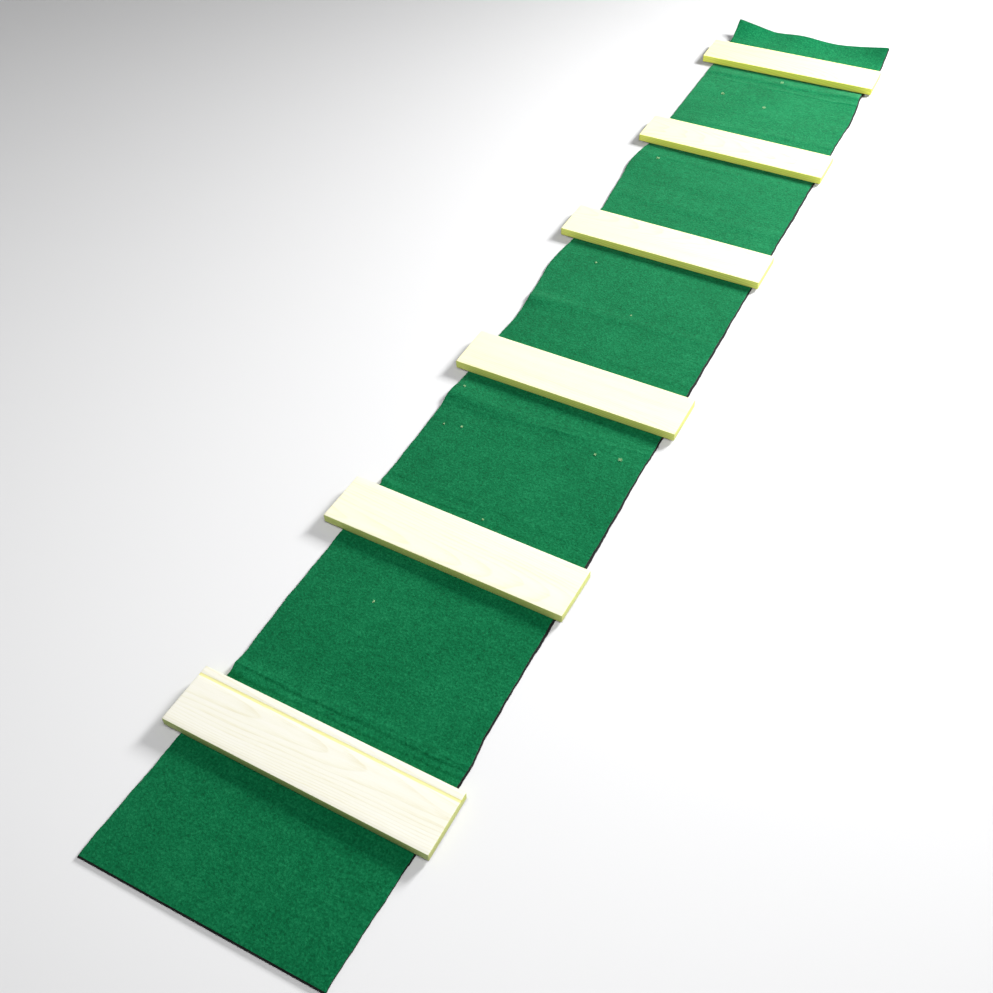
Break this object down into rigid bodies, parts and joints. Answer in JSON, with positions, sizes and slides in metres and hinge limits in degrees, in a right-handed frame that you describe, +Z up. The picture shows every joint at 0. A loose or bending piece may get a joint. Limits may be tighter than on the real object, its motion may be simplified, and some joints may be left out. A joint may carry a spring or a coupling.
{
  "type": "practice putting mat",
  "caption": "Long green felt putting runner on a black rubber backing, with flat softwood boards stapled across it from below; folds up between the boards.",
  "frame": {"origin": "on the floor, on the sheet's centreline, half way along the sheet's flat length", "axes": "+Z up out of the putting surface; +Y along the mat, from the near end to the far end that curls up; +X across the mat to the right of somebody who looks along +Y"},
  "size_m": [0.6257, 3.6662, 0.0509],
  "materials": {
    "felt": "needle-punched felt, matt",
    "backing": "matt black",
    "board": "planed bare pine",
    "staple": "galvanised wire"
  },
  "bodies": {
    "near_flap": {"near_flap_backing": "backing", "near_flap_felt": "felt"},
    "panel_1": {"panel_1_backing": "backing", "panel_1_felt": "felt", "board_1": "board", "staple_1_1": "staple", "staple_1_2": "staple", "staple_1_3": "staple", "staple_1_4": "staple", "staple_1_5": "staple"},
    "panel_2": {"panel_2_backing": "backing", "panel_2_felt": "felt", "board_2": "board", "staple_2_1": "staple", "staple_2_2": "staple", "staple_2_3": "staple", "staple_2_4": "staple", "staple_2_5": "staple"},
    "panel_3": {"panel_3_backing": "backing", "panel_3_felt": "felt", "board_3": "board", "staple_3_1": "staple", "staple_3_2": "staple", "staple_3_3": "staple", "staple_3_4": "staple", "staple_3_5": "staple"},
    "panel_4": {"panel_4_backing": "backing", "panel_4_felt": "felt", "board_4": "board", "staple_4_1": "staple", "staple_4_2": "staple", "staple_4_3": "staple", "staple_4_4": "staple", "staple_4_5": "staple"},
    "panel_5": {"panel_5_backing": "backing", "panel_5_felt": "felt", "board_5": "board", "staple_5_1": "staple", "staple_5_2": "staple", "staple_5_3": "staple", "staple_5_4": "staple", "staple_5_5": "staple"},
    "panel_6": {"panel_6_backing": "backing", "panel_6_felt": "felt", "board_6": "board", "staple_6_1": "staple", "staple_6_2": "staple", "staple_6_3": "staple", "staple_6_4": "staple", "staple_6_5": "staple"},
    "far_flap": {"far_flap_backing": "backing", "far_flap_felt": "felt"}
  },
  "joints": [
    {"name": "near_flap_lift", "type": "hinge", "parent": "panel_1", "child": "near_flap", "pos_m": [0, -1.5664, 0.0055], "axis": [1, 0, 0], "range_deg": [-90, 0]},
    {"name": "fold_1", "type": "hinge", "parent": "panel_1", "child": "panel_2", "pos_m": [0, -1.1895, 0.0055], "axis": [1, 0, 0], "range_deg": [0, 168]},
    {"name": "fold_2", "type": "hinge", "parent": "panel_2", "child": "panel_3", "pos_m": [0, -0.586, -0.0002], "axis": [1, 0, 0], "range_deg": [-168, 0]},
    {"name": "fold_3", "type": "hinge", "parent": "panel_3", "child": "panel_4", "pos_m": [0, 0.0575, 0.0055], "axis": [1, 0, 0], "range_deg": [0, 169]},
    {"name": "fold_4", "type": "hinge", "parent": "panel_4", "child": "panel_5", "pos_m": [0, 0.69525, -0.0002], "axis": [1, 0, 0], "range_deg": [-169, 0]},
    {"name": "fold_5", "type": "hinge", "parent": "panel_5", "child": "panel_6", "pos_m": [0, 1.30775, 0.0055], "axis": [1, 0, 0], "range_deg": [0, 168]},
    {"name": "far_flap_lift", "type": "hinge", "parent": "panel_6", "child": "far_flap", "pos_m": [0, 1.69542, 0.0055], "axis": [-1, 0, 0], "range_deg": [-90, 0]}
  ],
  "couplings": [
    {"joint": "fold_2", "follows": "fold_1", "ratio": -1},
    {"joint": "fold_4", "follows": "fold_3", "ratio": -1}
  ]
}
